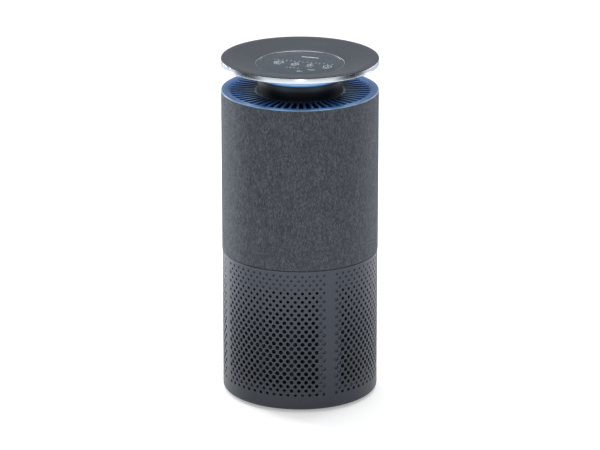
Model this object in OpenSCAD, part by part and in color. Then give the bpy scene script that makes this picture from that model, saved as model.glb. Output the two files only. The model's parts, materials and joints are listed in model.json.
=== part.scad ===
// Column air purifier.  A dished saucer carries the touch panel and stands on a short neck, air leaves through the
// ring grille under it, a fabric sleeve wraps the blower housing, a perforated shell is the all-round intake, and a
// twist-off base carries the drum filter.  Z is up, the axis is x = y = 0, the floor is z = 0, the front faces -Y.

/* [Overall] */
// Height from the floor to the rim of the saucer
total_h = 531; // [528:1:536]
// Outer diameter of the fabric sleeve
body_d = 240; // [239:0.5:242]
// Height of the seam between the fabric sleeve and the perforated shell
seam_z = 228.5; // [228:0.5:230]
// Gap under the shell that shows as a shadow line
floor_gap = 3.5; // [3.5:0.1:3.8]

/* [Saucer] */
// Outer diameter of the chrome edge
disc_d = 240; // [239.5:0.5:244]
// Height of the chrome edge
disc_edge = 9.3; // [9:0.1:9.6]
// Clear height between the saucer's edge and the outlet grille
outlet_gap = 40.3; // [39.5:0.1:41.5]
// Radius of the round touch panel
panel_r = 66.6; // [60:0.1:67]
// Flat margin between the chrome edge and the dish
disc_margin = 6.5; // [4:0.5:12]

/* [Outlet] */
// Number of radial vanes
vane_count = 54; // [48:1:60]
// Width of a slot at its outer end
slot_w = 9.2; // [7:0.1:9.4]
// Radius that the slots reach
slot_r = 108; // [104:0.5:109]

/* [Intake] */
// Thickness of the perforated shell
shell_wall = 1.8; // [1.5:0.1:1.8]
// How far the shell lies inside the fabric's surface
shell_step = 0.4; // [0.3:0.1:0.7]
// Rounding of the shell's bottom edge
shell_edge = 5; // [5:0.1:5.5]

/* [Filter] */
// Outer radius of the filter's end caps
filter_r = 102; // [100:0.5:102.5]
// Number of pleats
pleat_count = 56; // [40:1:60]

/* [Fan] */
// Radius of the impeller
impeller_r = 96; // [88:0.5:100]
// Number of impeller blades
blade_count = 9; // [7:1:11]
// Number of guide vanes that hold the motor
guide_count = 11; // [7:1:13]

/* [Base lock] */
// Number of bayonet lugs
lug_count = 4; // [3:1:4]
// Turn that locks the base
lock_angle = 20; // [15:1:20]
// Travel of the safety switch's plunger over that turn
plunger_travel = 2.5; // [2:0.1:2.5]

/* [Hidden] */

fine = 144;
fit = 0.3;
body_r = body_d / 2;
disc_r = disc_d / 2;
shell_r = body_r - shell_step;
shell_in = shell_r - shell_wall;
grille_top = total_h - disc_edge - outlet_gap;
disc_low = total_h - disc_edge;

// bayonet ring and base
ring_out = shell_in - 0.2;
ring_in = 111.9;
ring_top = 26;
lip_r = shell_r - shell_edge - 0.2;
cover_r = ring_in - 0.5;
cover_top = 15;
lug_r = lip_r - 0.3;
lug_angle = 14;
lug_low = 11;
lug_first = 10;

// safety switch
switch_angle = 200;
plunger_x = 106.5;
plunger_r = 1.6;
ramp_low = 15.7;

// filter, deck and fan heights
seat_z = ramp_low;
filter_z = seat_z + fit;
filter_top = filter_z + 188;
cap_t = 2.4;
gasket_h = 5.6;
deck_z = filter_top + gasket_h + fit + cap_t - 2;
deck_t = 3;
inlet_z = deck_z + deck_t + 0.1;
wheel_z = inlet_z + 28;
blade_h = 30;
shaft_r = 4;
motor_z = wheel_z + blade_h + 13;
motor_h = 30;
motor_r = 42;
core_r = 64.6;
core_in = 62;
floor_z = motor_z + motor_h + 3;
drum_z = floor_z + 34;

// plain strips of the shell, with the posts behind them
strip_first = 45;
post_angle = 18;
inlet_angle = 135;
power_z = 46;

// saucer heights
led_z = disc_low - 20;
under_z = disc_low - 9.4;
dish_z = disc_low + 0.4;

charcoal = [0.27, 0.28, 0.30];
graphite = [0.20, 0.21, 0.23];
black = [0.06, 0.06, 0.07];
white = [0.90, 0.90, 0.88];
steel = [0.66, 0.67, 0.69];
green = [0.08, 0.28, 0.16];

// a ring of square section from r1 to r2 and z1 to z2
module band(r1, r2, z1, z2) {
    rotate_extrude($fn = fine) translate([r1, z1]) square([r2 - r1, z2 - z1]);
}

// the part of such a ring between two angles
module band_part(r1, r2, z1, z2, a1, a2) {
    rotate([0, 0, a1]) rotate_extrude(angle = a2 - a1, $fn = fine)
        translate([r1, z1]) square([r2 - r1, z2 - z1]);
}

// count copies around the axis, the first one at angle first
module around(count, first = 0) {
    for (i = [0:count - 1]) rotate([0, 0, first + i * 360 / count]) children();
}

// a pan-head screw that points down, its head resting on z = 0
module screw(length) {
    cylinder(r = 3, h = 2, $fn = 24);
    translate([0, 0, -length]) cylinder(r = 1.5, h = length + 0.5, $fn = 24);
}

// ---- base ----

// wedge that lifts the switch plunger by plunger_travel over the locking turn
module cam_ramp() {
    reach = plunger_x * sin(lock_angle / 2);
    slope = plunger_travel / (2 * reach);
    run = reach + 3.5;
    mid = ramp_low + plunger_travel / 2;
    rotate([0, 0, switch_angle + lock_angle / 2]) translate([plunger_x - 2.5, 0, 0])
        rotate([90, 0, 90]) linear_extrude(height = 4.9)
            polygon([[-run, floor_gap + 1], [run, floor_gap + 1], [run, mid + slope * run],
                [-run, mid - slope * run]]);
}

module base_cover() {
    grip_r = 40;
    color(graphite)
    difference() {
        union() {
            band(0, cover_r, floor_gap, floor_gap + 3);
            band(cover_r - 3, cover_r, floor_gap, cover_top);
            band(filter_r - 6, filter_r - 3, floor_gap + 2, seat_z);
            cylinder(r = grip_r, h = 13.5, $fn = fine);
            cam_ramp();
            around(lug_count, lug_first)
                band_part(cover_r - 2, lug_r, lug_low, cover_top, -lug_angle / 2, lug_angle / 2);
            around(8, 22.5) translate([grip_r - 1, -1, floor_gap + 1]) cube([filter_r - 5 - grip_r, 2, 8]);
        }
        translate([0, 0, -1]) cylinder(r = grip_r + 20, h = floor_gap + 1, $fn = fine);
        difference() {
            cylinder(r = grip_r - 2.5, h = 11, $fn = fine);
            translate([-grip_r, -7, 0]) cube([2 * grip_r, 14, 12]);
        }
    }
}

module rubber_feet() {
    color(black)
    around(4, 45) translate([82, 0, 0]) cylinder(r = 9, h = floor_gap, $fn = 48);
}

// ---- filter ----

module filter_bottom_cap() {
    color(white) {
        band(0, filter_r, filter_z, filter_z + cap_t);
        band(filter_r - 2.4, filter_r, filter_z + cap_t - 0.4, filter_z + 10);
        band(61, 63.2, filter_z + cap_t - 0.4, filter_z + 10);
    }
}

module filter_top_cap() {
    color(white) {
        band(61, filter_r, filter_top, filter_top + cap_t);
        band(filter_r - 2.4, filter_r, filter_top - 8, filter_top + 0.4);
        band(61, 63.2, filter_top - 8, filter_top + 0.4);
    }
}

module filter_gasket() {
    color(black) band(91, 98.5, filter_top + cap_t, filter_top + gasket_h + 0.4);
}

// one closed zigzag outline: out along the outer face of the pleats, back along the inner face
module pleats(r1, r2, t) {
    step = 360 / pleat_count;
    out_side = [for (i = [0:pleat_count - 1]) each [
        [r2 * cos(i * step), r2 * sin(i * step)],
        [(r1 + t) * cos((i + 0.5) * step), (r1 + t) * sin((i + 0.5) * step)]]];
    in_side = [for (i = [0:pleat_count - 1]) each [
        [(r2 - t) * cos(i * step), (r2 - t) * sin(i * step)],
        [r1 * cos((i + 0.5) * step), r1 * sin((i + 0.5) * step)]]];
    difference() {
        polygon(out_side);
        polygon(in_side);
    }
}

module filter_media() {
    color(white)
    translate([0, 0, filter_z + cap_t + 0.2]) linear_extrude(height = filter_top - filter_z - cap_t - 0.4)
        pleats(68.5, 97, 5);
}

module carbon_layer() {
    color(black) band(64, 67.6, filter_z + cap_t, filter_top);
}

// outer cage of the filter, with rows of windows
module prefilter_mesh() {
    rows = 5;
    across = 12;
    low = filter_z + 12;
    pitch = (filter_top - 10 - low) / rows;
    color(steel)
    difference() {
        band(filter_r - 4.2, filter_r - 2.8, filter_z + cap_t, filter_top);
        for (row = [0:rows - 1]) around(across)
            translate([90, -20, low + row * pitch + 2]) cube([15, 40, pitch - 4]);
    }
}

module pull_tab() {
    color([0.2, 0.45, 0.75])
    rotate([0, 0, 270]) {
        translate([58.6, -11, filter_top + cap_t]) cube([28, 22, 1.4]);
        translate([58.6, -11, filter_top - 34]) cube([1.4, 22, 34 + cap_t + 1.4]);
    }
}

// ---- intake ----

// section of the rounded bottom edge
module edge_section() {
    r = shell_r;
    intersection() {
        translate([r - shell_edge, floor_gap + shell_edge]) difference() {
            circle(r = shell_edge, $fn = 64);
            circle(r = shell_edge - shell_wall, $fn = 64);
        }
        translate([r - shell_edge, floor_gap]) square([shell_edge, shell_edge + 0.2]);
    }
}

// the shell is drawn with a plain wall; its rows of small intake holes are left out here
module intake_shell() {
    color(charcoal)
    difference() {
        rotate_extrude($fn = fine) union() {
            edge_section();
            translate([shell_in, floor_gap + shell_edge]) square([shell_wall, seam_z - 1 - floor_gap - shell_edge]);
        }
        rotate([0, 0, inlet_angle]) translate([shell_in - 5, 0, power_z]) rotate([0, 90, 0])
            cylinder(r = 6.3, h = 15, $fn = 48);
    }
}

// grooves for one lug: an entry from below and a track that the lug follows when the base is turned
module lug_groove() {
    half = lug_angle / 2 + 1;
    band_part(ring_in - 2, lip_r + 0.6, 0, cover_top + 0.8, -half, half);
    band_part(ring_in - 1, lip_r + 0.4, lug_low - 0.4, cover_top + 0.5, -half - lock_angle, 0);
}

module intake_frame() {
    blind_z = seam_z - 32;
    color(graphite)
    difference() {
        union() {
            band(ring_in, lip_r, floor_gap + 0.3, floor_gap + shell_edge + 0.8);
            band(ring_in, ring_out, floor_gap + shell_edge + 0.5, ring_top);
            around(4, strip_first)
                band_part(ring_in + 0.2, ring_out - 0.2, ring_top - 1, blind_z + 1, -post_angle / 2, post_angle / 2);
            band(ring_in, ring_out, blind_z, seam_z - 0.1);
            band(80, ring_in + 1, deck_z, deck_z + deck_t);
        }
        around(lug_count, lug_first) lug_groove();
        rotate([0, 0, inlet_angle]) translate([ring_in - 5, 0, power_z]) rotate([0, 90, 0])
            cylinder(r = 6.3, h = 15, $fn = 48);
        around(4, 45) translate([88, 0, deck_z - 1]) cylinder(r = 1.7, h = deck_t + 2, $fn = 24);
    }
}

// round power socket in the rear strip
module power_inlet() {
    color(black)
    rotate([0, 0, inlet_angle]) translate([0, 0, power_z]) rotate([0, 90, 0])
    difference() {
        union() {
            translate([0, 0, 104]) cylinder(r = 6, h = body_r - 104, $fn = 48);
            translate([0, 0, shell_r + 0.05]) cylinder(r = 8.5, h = 1.2, $fn = 48);
        }
        translate([0, 0, 110]) cylinder(r = 2.9, h = 20, $fn = 48);
    }
}

// micro switch on the bayonet ring
module switch_body() {
    color([0.55, 0.1, 0.1])
    rotate([0, 0, switch_angle])
    difference() {
        translate([103.2, -8, 21]) cube([ring_in - 103.5, 16, 16]);
        translate([plunger_x, 0, 20]) cylinder(r = plunger_r + 0.06, h = 12, $fn = 32);
    }
}

module switch_plunger() {
    color(white)
    rotate([0, 0, switch_angle]) translate([plunger_x, 0, ramp_low + 0.35]) cylinder(r = plunger_r, h = 11, $fn = 32);
}

// ---- fan ----

// plate and bellmouth that lead the filtered air into the impeller
module fan_inlet_ring() {
    throat = 54.5;
    t = 2.5;
    bend = 11.5;
    color(graphite)
    difference() {
        rotate_extrude($fn = fine) {
            translate([throat + bend - 0.1, inlet_z]) square([94 - throat - bend, t]);
            translate([throat, inlet_z + bend - 0.1]) square([t, 3]);
            intersection() {
                translate([throat + bend, inlet_z + bend]) difference() {
                    circle(r = bend, $fn = 64);
                    circle(r = bend - t, $fn = 64);
                }
                translate([throat, inlet_z]) square([bend, bend]);
            }
        }
        around(4, 45) translate([88, 0, inlet_z - 1]) cylinder(r = 1.7, h = t + 2, $fn = 24);
    }
}

module inlet_screws() {
    color(steel) around(4, 45) translate([88, 0, inlet_z + 2.5]) screw(5.2);
}

// one backward-curved blade as a slice of a ring
module blade(r1, r2, t) {
    intersection() {
        difference() {
            circle(r = r2, $fn = fine);
            circle(r = r1, $fn = fine);
        }
        translate([52, 0]) difference() {
            circle(r = 56 + t, $fn = fine);
            circle(r = 56, $fn = fine);
        }
        translate([0, 0]) square([120, 120]);
    }
}

module impeller() {
    collar = 58;
    bend = 10;
    t = 2;
    color([0.82, 0.83, 0.85])
    difference() {
        union() {
            rotate_extrude($fn = fine) {
                translate([collar, inlet_z + 11]) square([t, wheel_z - bend - inlet_z - 11 + 0.1]);
                translate([collar + bend - 0.1, wheel_z - t]) square([impeller_r - collar - bend + 0.1, t]);
                intersection() {
                    translate([collar + bend, wheel_z - bend]) difference() {
                        circle(r = bend, $fn = 64);
                        circle(r = bend - t, $fn = 64);
                    }
                    translate([collar, wheel_z - bend]) square([bend, bend]);
                }
            }
            translate([0, 0, wheel_z - 0.2]) linear_extrude(height = blade_h + 0.4)
                around(blade_count) blade(62, impeller_r - 0.5, 1.8);
            band(0, impeller_r, wheel_z + blade_h, wheel_z + blade_h + 2.5);
            cylinder_hub();
        }
        translate([0, 0, wheel_z - 20]) cylinder(r = shaft_r + 0.03, h = 80, $fn = 48);
    }
}

// hub and nose of the impeller
module cylinder_hub() {
    translate([0, 0, wheel_z + blade_h - 16]) cylinder(r1 = 12, r2 = 30, h = 16.2, $fn = 96);
    translate([0, 0, wheel_z + blade_h]) cylinder(r = 13, h = 8.5, $fn = 96);
}

module impeller_nut() {
    color(steel)
    translate([0, 0, wheel_z + blade_h - 22]) difference() {
        cylinder(r = 7.4, h = 5.9, $fn = 6);
        translate([0, 0, -1]) cylinder(r = shaft_r + 0.03, h = 8, $fn = 48);
    }
}

module motor_shaft() {
    color(steel)
    translate([0, 0, wheel_z + blade_h - 26]) cylinder(r = shaft_r, h = motor_z + motor_h + 5 - wheel_z - blade_h + 26,
        $fn = 48);
}

module motor_rotor() {
    color([0.35, 0.35, 0.38]) band(shaft_r + 0.03, 25.5, motor_z + 8, motor_z + motor_h - 8);
}

module motor_stator() {
    color([0.65, 0.35, 0.15])
    translate([0, 0, motor_z + 7]) linear_extrude(height = motor_h - 14) {
        difference() {
            circle(r = motor_r - 2.2, $fn = fine);
            circle(r = motor_r - 7, $fn = fine);
        }
        intersection() {
            difference() {
                circle(r = motor_r - 6.5, $fn = fine);
                circle(r = 26.2, $fn = fine);
            }
            around(12) translate([20, -4]) square([20, 8]);
        }
    }
}

module motor_case() {
    color(steel)
    difference() {
        band(0, motor_r, motor_z, motor_z + motor_h);
        difference() {
            band(0, motor_r - 2, motor_z + 2, motor_z + motor_h - 2);
            band(0, 12, motor_z + 1, motor_z + 5);
            band(0, 12, motor_z + motor_h - 5, motor_z + motor_h - 1);
        }
        translate([0, 0, motor_z - 1]) cylinder(r = 9.05, h = motor_h + 2, $fn = 96);
    }
}

module motor_bearings() {
    color(steel)
    for (z = [motor_z, motor_z + motor_h - 5]) band(shaft_r + 0.05, 9, z, z + 5);
}

module motor_dampers() {
    color(black) around(3, 30) translate([30, 0, motor_z + motor_h]) cylinder(r = 6, h = 3, $fn = 48);
}

// cup over the motor, held in the housing by a ring of curved guide vanes
module motor_bracket() {
    ring = 114.5;
    vane_low = motor_z + 8;
    vane_h = 46;
    color(graphite)
    difference() {
        union() {
            band(0, core_r, floor_z, floor_z + 3);
            band(core_in, core_r, motor_z - 5, drum_z);
            band(ring - 2.5, ring, vane_low - 4, vane_low + vane_h + 4);
            translate([0, 0, vane_low]) linear_extrude(height = vane_h) around(guide_count)
                intersection() {
                    difference() {
                        circle(r = ring - 1, $fn = fine);
                        circle(r = core_in + 1, $fn = fine);
                    }
                    translate([60, -66]) difference() {
                        circle(r = 72, $fn = fine);
                        circle(r = 69.6, $fn = fine);
                    }
                    translate([40, -40]) square([80, 80]);
                }
        }
        translate([0, 0, floor_z - 1]) cylinder(r = 8, h = 5, $fn = 48);
    }
}

// ---- housing ----

module upper_housing() {
    color(graphite) {
        band(114.8, body_r - 1.5, seam_z, grille_top - 4.2);
        band(108, 115, seam_z, seam_z + 3);
    }
}

module fabric_sleeve() {
    color([0.33, 0.35, 0.38]) band(body_r - 1.4, body_r, seam_z, grille_top - 1.4);
}

// smooth column between the motor cup and the neck, with the electronics inside
module core_drum() {
    color(graphite)
    difference() {
        union() {
            band(core_in, core_r, drum_z + 0.2, grille_top - 4);
            band(50, core_in + 1, grille_top - 6.5, grille_top - 4);
        }
        around(4, 45) translate([56, 0, grille_top - 8]) cylinder(r = 1.7, h = 5, $fn = 24);
    }
}

module board_carrier() {
    color(black)
    difference() {
        union() {
            translate([0, 0, drum_z + 1]) cylinder(r = core_in - 0.4, h = 2.4, $fn = fine);
            for (x = [-50, 46]) translate([x, -26, drum_z + 3]) cube([4, 52, 88]);
        }
        for (y = [-20, 18.4]) translate([-47, y, drum_z + 5]) cube([94, 1.9, 100]);
        translate([0, 0, drum_z]) cylinder(r = 12, h = 5, $fn = 48);
    }
}

module main_board() {
    color(green)
    translate([-46.8, 18.5, drum_z + 5.2]) {
        cube([93.6, 1.6, 92]);
        translate([12, 1.5, 20]) cube([22, 3, 22]);
        translate([52, 1.5, 50]) cube([14, 2.5, 14]);
        translate([20, 1.5, 78]) cube([50, 7, 8]);
        for (x = [50, 62, 74]) translate([x, 1.5, 22]) rotate([-90, 0, 0]) cylinder(r = 4, h = 10, $fn = 32);
    }
}

module power_board() {
    color([0.5, 0.38, 0.12])
    translate([-46.8, -19.9, drum_z + 5.2]) {
        cube([93.6, 1.6, 92]);
        translate([14, -17.9, 40]) cube([30, 18, 26]);
        translate([58, -9.9, 52]) cube([24, 10, 20]);
        for (x = [56, 72]) translate([x, 0.1, 22]) rotate([90, 0, 0]) cylinder(r = 6.5, h = 18, $fn = 48);
    }
}

module particle_sensor() {
    color([0.25, 0.3, 0.45])
    difference() {
        translate([-19, 31, grille_top - 62]) cube([38, 13, 48]);
        translate([-8, 30, grille_top - 40]) rotate([-90, 0, 0]) cylinder(r = 4, h = 8, $fn = 48);
    }
}

// plan of the grille: slots between radial vanes, rounded at their outer ends
module grille_plan() {
    inner = 68.6;
    tip = slot_w / 2;
    inner_half = 3.14159 * inner / vane_count - 1.1;
    difference() {
        circle(r = 112, $fn = fine);
        circle(r = core_r + 1, $fn = fine);
        around(vane_count) {
            polygon([[inner, -inner_half], [slot_r - tip, 0.05 - tip], [slot_r - tip, tip - 0.05],
                [inner, inner_half]]);
            translate([slot_r - tip, 0]) circle(r = tip, $fn = 32);
        }
    }
}

module outlet_grille() {
    color([0.30, 0.38, 0.46]) {
        translate([0, 0, grille_top - 8]) linear_extrude(height = 6) grille_plan();
        band(slot_r + 2, 114.4, grille_top - 14, grille_top - 3);
        rotate_extrude($fn = fine)
            polygon([[slot_r + 0.6, grille_top - 4], [body_r - 1.6, grille_top - 4],
                [body_r - 1.6, grille_top - 1.3], [body_r, grille_top - 1.3], [body_r, grille_top - 0.8],
                [body_r - 0.8, grille_top], [slot_r + 2, grille_top], [slot_r + 0.6, grille_top - 1.4]]);
        band(core_r + 0.3, 67.4, grille_top - 9, grille_top + 1);
    }
}

// ---- neck and saucer ----

module neck() {
    color(black)
    difference() {
        union() {
            band(61.4, core_r, grille_top - 3.8, led_z);
            band(50, 62, grille_top - 3.8, grille_top - 1.3);
            band(38, 62, led_z - 2.2, led_z);
        }
        around(4, 45) translate([56, 0, grille_top - 5]) cylinder(r = 1.7, h = 5, $fn = 24);
        around(4, 0) translate([44, 0, led_z - 4]) cylinder(r = 1.7, h = 5, $fn = 24);
        for (a = [78:6:102]) rotate([0, 0, a]) translate([55, -1, grille_top + 5]) cube([15, 2, 9]);
    }
}

module neck_screws() {
    color(steel) around(4, 45) translate([56, 0, grille_top - 1.3]) screw(8);
}

// light guide that shows as a glowing line under the saucer
module led_ring() {
    color([0.62, 0.82, 0.95]) band(61.4, core_r + 1.4, led_z + 0.1, under_z - 0.1);
}

module led_board() {
    color(green) {
        band(50, 61, led_z + 1, led_z + 2.6);
        around(24) translate([57, -1.2, led_z + 2.5]) cube([3, 2.4, 1.5]);
    }
}

module disc_underside() {
    out_r = disc_r - 2.6;
    color(graphite)
    difference() {
        union() {
            rotate_extrude($fn = fine)
                polygon([[30, under_z], [68, under_z], [out_r, disc_low - 0.2], [out_r, disc_low + 2.2],
                    [68, under_z + 2.4], [30, under_z + 2.4]]);
            around(4, 0) translate([44, 0, led_z + 0.2]) cylinder(r = 4, h = under_z - led_z, $fn = 32);
        }
        around(4, 0) translate([44, 0, led_z - 1]) cylinder(r = 1.6, h = under_z - led_z, $fn = 24);
    }
}

module disc_screws() {
    color(steel) around(4, 0) translate([44, 0, led_z - 2.2]) mirror([0, 0, 1]) screw(10);
}

module trim_ring() {
    bevel = 0.5;
    in_r = disc_r - 2.4;
    color([0.88, 0.90, 0.92])
    rotate_extrude($fn = fine)
        polygon([[in_r, disc_low], [disc_r - bevel, disc_low], [disc_r, disc_low + bevel], [disc_r, total_h - bevel],
            [disc_r - bevel, total_h], [disc_r - 1.3, total_h], [in_r, total_h - 0.6]]);
}

// dished plate with a flat margin outside and a recess for the touch panel in the middle
module top_plate() {
    out_r = disc_r - 2.5;
    top = total_h - 0.6;
    skin = 2;
    knee = out_r - disc_margin;
    color([0.30, 0.32, 0.34])
    rotate_extrude($fn = fine)
        polygon([[out_r, top - skin], [out_r, top], [knee, top], [panel_r + 0.4, dish_z],
            [panel_r + 0.2, dish_z - 2.2], [58, dish_z - 2.2], [58, dish_z - 4.2], [panel_r + 2.4, dish_z - 4.2],
            [panel_r + 3.4, dish_z - skin], [knee, top - skin]]);
}

module control_panel() {
    color([0.33, 0.36, 0.39]) band(0, panel_r, dish_z - 2.1, dish_z - 1);
}

module touch_board() {
    color(green)
    difference() {
        union() {
            translate([0, 0, dish_z - 5.6]) cylinder(r = 56, h = 1.6, $fn = fine);
            around(12) translate([24, -3, dish_z - 4.2]) cube([6, 6, 1.4]);
        }
        translate([0, 0, dish_z - 6]) cylinder(r = 5, h = 4, $fn = 48);
    }
}

base_cover();
rubber_feet();
filter_bottom_cap();
filter_top_cap();
filter_gasket();
filter_media();
carbon_layer();
prefilter_mesh();
pull_tab();
intake_shell();
intake_frame();
power_inlet();
switch_body();
switch_plunger();
fan_inlet_ring();
inlet_screws();
impeller();
impeller_nut();
motor_shaft();
motor_rotor();
motor_stator();
motor_case();
motor_bearings();
motor_dampers();
motor_bracket();
upper_housing();
fabric_sleeve();
core_drum();
board_carrier();
main_board();
power_board();
particle_sensor();
outlet_grille();
neck();
neck_screws();
led_ring();
led_board();
disc_underside();
disc_screws();
trim_ring();
top_plate();
control_panel();
touch_board();
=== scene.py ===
"""Looks of the column air purifier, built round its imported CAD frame.  Metres, +Z up, the front faces -Y."""

import json
import math

import bpy
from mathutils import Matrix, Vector

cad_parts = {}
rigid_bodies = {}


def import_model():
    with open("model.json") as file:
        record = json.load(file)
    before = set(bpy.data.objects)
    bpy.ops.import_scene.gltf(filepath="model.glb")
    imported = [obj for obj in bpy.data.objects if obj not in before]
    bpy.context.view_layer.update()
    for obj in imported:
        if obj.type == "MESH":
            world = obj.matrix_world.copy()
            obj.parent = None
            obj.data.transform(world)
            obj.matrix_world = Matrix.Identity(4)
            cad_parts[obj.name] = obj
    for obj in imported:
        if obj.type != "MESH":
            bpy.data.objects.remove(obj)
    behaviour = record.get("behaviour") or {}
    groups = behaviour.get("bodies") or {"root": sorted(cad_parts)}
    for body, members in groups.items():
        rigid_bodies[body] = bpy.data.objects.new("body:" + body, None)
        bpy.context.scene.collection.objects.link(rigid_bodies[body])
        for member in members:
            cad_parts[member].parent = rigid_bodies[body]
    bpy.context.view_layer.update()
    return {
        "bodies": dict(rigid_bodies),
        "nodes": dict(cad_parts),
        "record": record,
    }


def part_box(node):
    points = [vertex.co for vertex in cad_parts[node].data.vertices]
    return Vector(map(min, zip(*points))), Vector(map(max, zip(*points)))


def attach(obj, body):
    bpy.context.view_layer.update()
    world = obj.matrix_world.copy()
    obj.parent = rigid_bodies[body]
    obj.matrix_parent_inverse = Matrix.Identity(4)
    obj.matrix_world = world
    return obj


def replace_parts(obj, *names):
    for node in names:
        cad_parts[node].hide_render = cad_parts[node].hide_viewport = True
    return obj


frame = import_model()
MM = 0.001

# ---- sizes, from the frame ----

SLEEVE_LOW, SLEEVE_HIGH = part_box("fabric_sleeve")
SHELL_LOW, SHELL_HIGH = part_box("intake_shell")
EDGE_LOW, EDGE_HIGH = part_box("trim_ring")
GRILLE_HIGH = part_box("outlet_grille")[1]
PANEL_LOW, PANEL_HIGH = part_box("control_panel")
LED_LOW, LED_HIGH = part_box("led_ring")
NECK_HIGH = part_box("neck")[1]
FILTER_LOW, FILTER_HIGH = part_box("prefilter_mesh")

BODY_R = 120.0 * MM
DISC_R = 120.0 * MM
SHELL_R = 119.6 * MM
SHELL_WALL = 1.8 * MM
SHELL_EDGE = 5.0 * MM
PANEL_R = 66.6 * MM
CORE_R = 64.6 * MM
SLOT_R = 108.0 * MM
LED_R = CORE_R + 1.4 * MM
TOP_Z = EDGE_HIGH[2]
FLOOR_GAP = SHELL_LOW[2]
RIM_Z = GRILLE_HIGH[2] - 1.0 * MM

# perforation of the shell: panels of staggered holes, parted by plain strips
PANELS, COLS, ROWS = 4, 31, 29
COL_ANGLE = math.radians(8 / 3)
ROW_PITCH = 6.84 * MM
ROW_FIRST = 28.3 * MM
HOLE_D = 6.7 * MM

AZIMUTH = math.radians(22.2)


# ---- small helpers ----

def srgb(r, g, b):
    """Linear colour of an 8-bit sRGB one."""
    def channel(v):
        v /= 255
        return v / 12.92 if v <= 0.04045 else ((v + 0.055) / 1.055) ** 2.4
    return (channel(r), channel(g), channel(b), 1.0)


def scaled(colour, k):
    return (colour[0] * k, colour[1] * k, colour[2] * k, 1.0)


class Shading:
    """A material under construction: short calls that add and link nodes."""

    def __init__(self, name):
        self.mat = bpy.data.materials.new(name)
        self.mat.use_nodes = True
        self.tree = self.mat.node_tree
        self.shader = self.tree.nodes["Principled BSDF"]
        self.coords = self.add("ShaderNodeTexCoord").outputs["Object"]

    def add(self, kind, **settings):
        node = self.tree.nodes.new(kind)
        for key, value in settings.items():
            setattr(node, key, value)
        return node

    def link(self, a, b):
        self.tree.links.new(a, b)

    def stretched(self, x, y, z):
        """Object coordinates with each axis multiplied."""
        node = self.add("ShaderNodeVectorMath", operation="MULTIPLY")
        self.link(self.coords, node.inputs[0])
        node.inputs[1].default_value = (x, y, z)
        return node.outputs[0]

    def axes(self):
        """Object coordinates as separate x, y and z."""
        node = self.add("ShaderNodeSeparateXYZ")
        self.link(self.coords, node.inputs[0])
        return node.outputs

    def span(self, value, low, high):
        """0 where value is low, 1 where it is high."""
        node = self.add("ShaderNodeMapRange")
        node.inputs["From Min"].default_value = low
        node.inputs["From Max"].default_value = high
        self.link(value, node.inputs["Value"])
        return node.outputs[0]

    def uneven(self, value, scale, detail, amount):
        """Value with a little noise added, half of amount either way."""
        wobble = self.math("ADD", self.math("MULTIPLY", self.noise(scale, detail), amount), -amount / 2)
        return self.math("ADD", value, wobble)

    def noise(self, scale, detail=3.0, rough=0.55, vector=None):
        node = self.add("ShaderNodeTexNoise")
        node.inputs["Scale"].default_value = scale
        node.inputs["Detail"].default_value = detail
        node.inputs["Roughness"].default_value = rough
        self.link(vector or self.coords, node.inputs["Vector"])
        return node.outputs["Fac"]

    def math(self, operation, a, b=None):
        node = self.add("ShaderNodeMath", operation=operation)
        for socket, value in zip(node.inputs, (a, b)):
            if value is None:
                continue
            if isinstance(value, (int, float)):
                socket.default_value = value
            else:
                self.link(value, socket)
        return node.outputs[0]

    def ramp(self, fac, stops):
        """Colour ramp; stops are (place, colour)."""
        node = self.add("ShaderNodeValToRGB")
        marks = node.color_ramp.elements
        while len(marks) < len(stops):
            marks.new(0.5)
        for mark, (place, colour) in zip(marks, stops):
            mark.position = place
            mark.color = colour
        self.link(fac, node.inputs["Fac"])
        return node.outputs["Color"]

    def mix(self, fac, a, b, blend="MIX"):
        node = self.add("ShaderNodeMix", data_type="RGBA", blend_type=blend)
        for socket, value in ((node.inputs[0], fac), (node.inputs[6], a), (node.inputs[7], b)):
            if isinstance(value, (int, float, tuple)):
                socket.default_value = value
            else:
                self.link(value, socket)
        return node.outputs[2]

    def colour(self, value):
        self.link(value, self.shader.inputs["Base Color"])

    def rough(self, fac, low, high):
        node = self.add("ShaderNodeMapRange")
        node.inputs["To Min"].default_value = low
        node.inputs["To Max"].default_value = high
        self.link(fac, node.inputs["Value"])
        self.link(node.outputs[0], self.shader.inputs["Roughness"])

    def bump(self, height, strength, distance, under=None):
        node = self.add("ShaderNodeBump")
        node.inputs["Strength"].default_value = strength
        node.inputs["Distance"].default_value = distance
        self.link(height, node.inputs["Height"])
        if under is not None:
            self.link(under, node.inputs["Normal"])
        self.link(node.outputs[0], self.shader.inputs["Normal"])
        return node.outputs[0]

    def set(self, **values):
        for key, value in values.items():
            self.shader.inputs[key.replace("_", " ")].default_value = value


def moulded(name, colour, low=0.35, high=0.5, grain=900.0, depth=0.05, vary=0.12, specular=0.5):
    """Moulded plastic: faint tone changes, spark-eroded grain."""
    s = Shading(name)
    tone = s.noise(14.0, 4.0)
    s.colour(s.ramp(tone, [(0.25, scaled(colour, 1 - vary)), (0.75, scaled(colour, 1 + vary))]))
    fine = s.noise(grain, 2.0)
    s.rough(s.noise(60.0, 3.0), low, high)
    s.bump(fine, depth, 0.0002)
    s.set(Specular_IOR_Level=specular)
    return s.mat


def turned_metal(name, colour, low=0.22, high=0.38):
    """Turned or brushed metal, its marks running round the axis."""
    s = Shading(name)
    marks = s.noise(40.0, 4.0, vector=s.stretched(1.0, 1.0, 60.0))
    s.colour(s.ramp(marks, [(0.2, scaled(colour, 0.85)), (0.8, scaled(colour, 1.1))]))
    s.rough(marks, low, high)
    s.bump(marks, 0.08, 0.0002)
    s.set(Metallic=1.0)
    return s.mat


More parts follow.
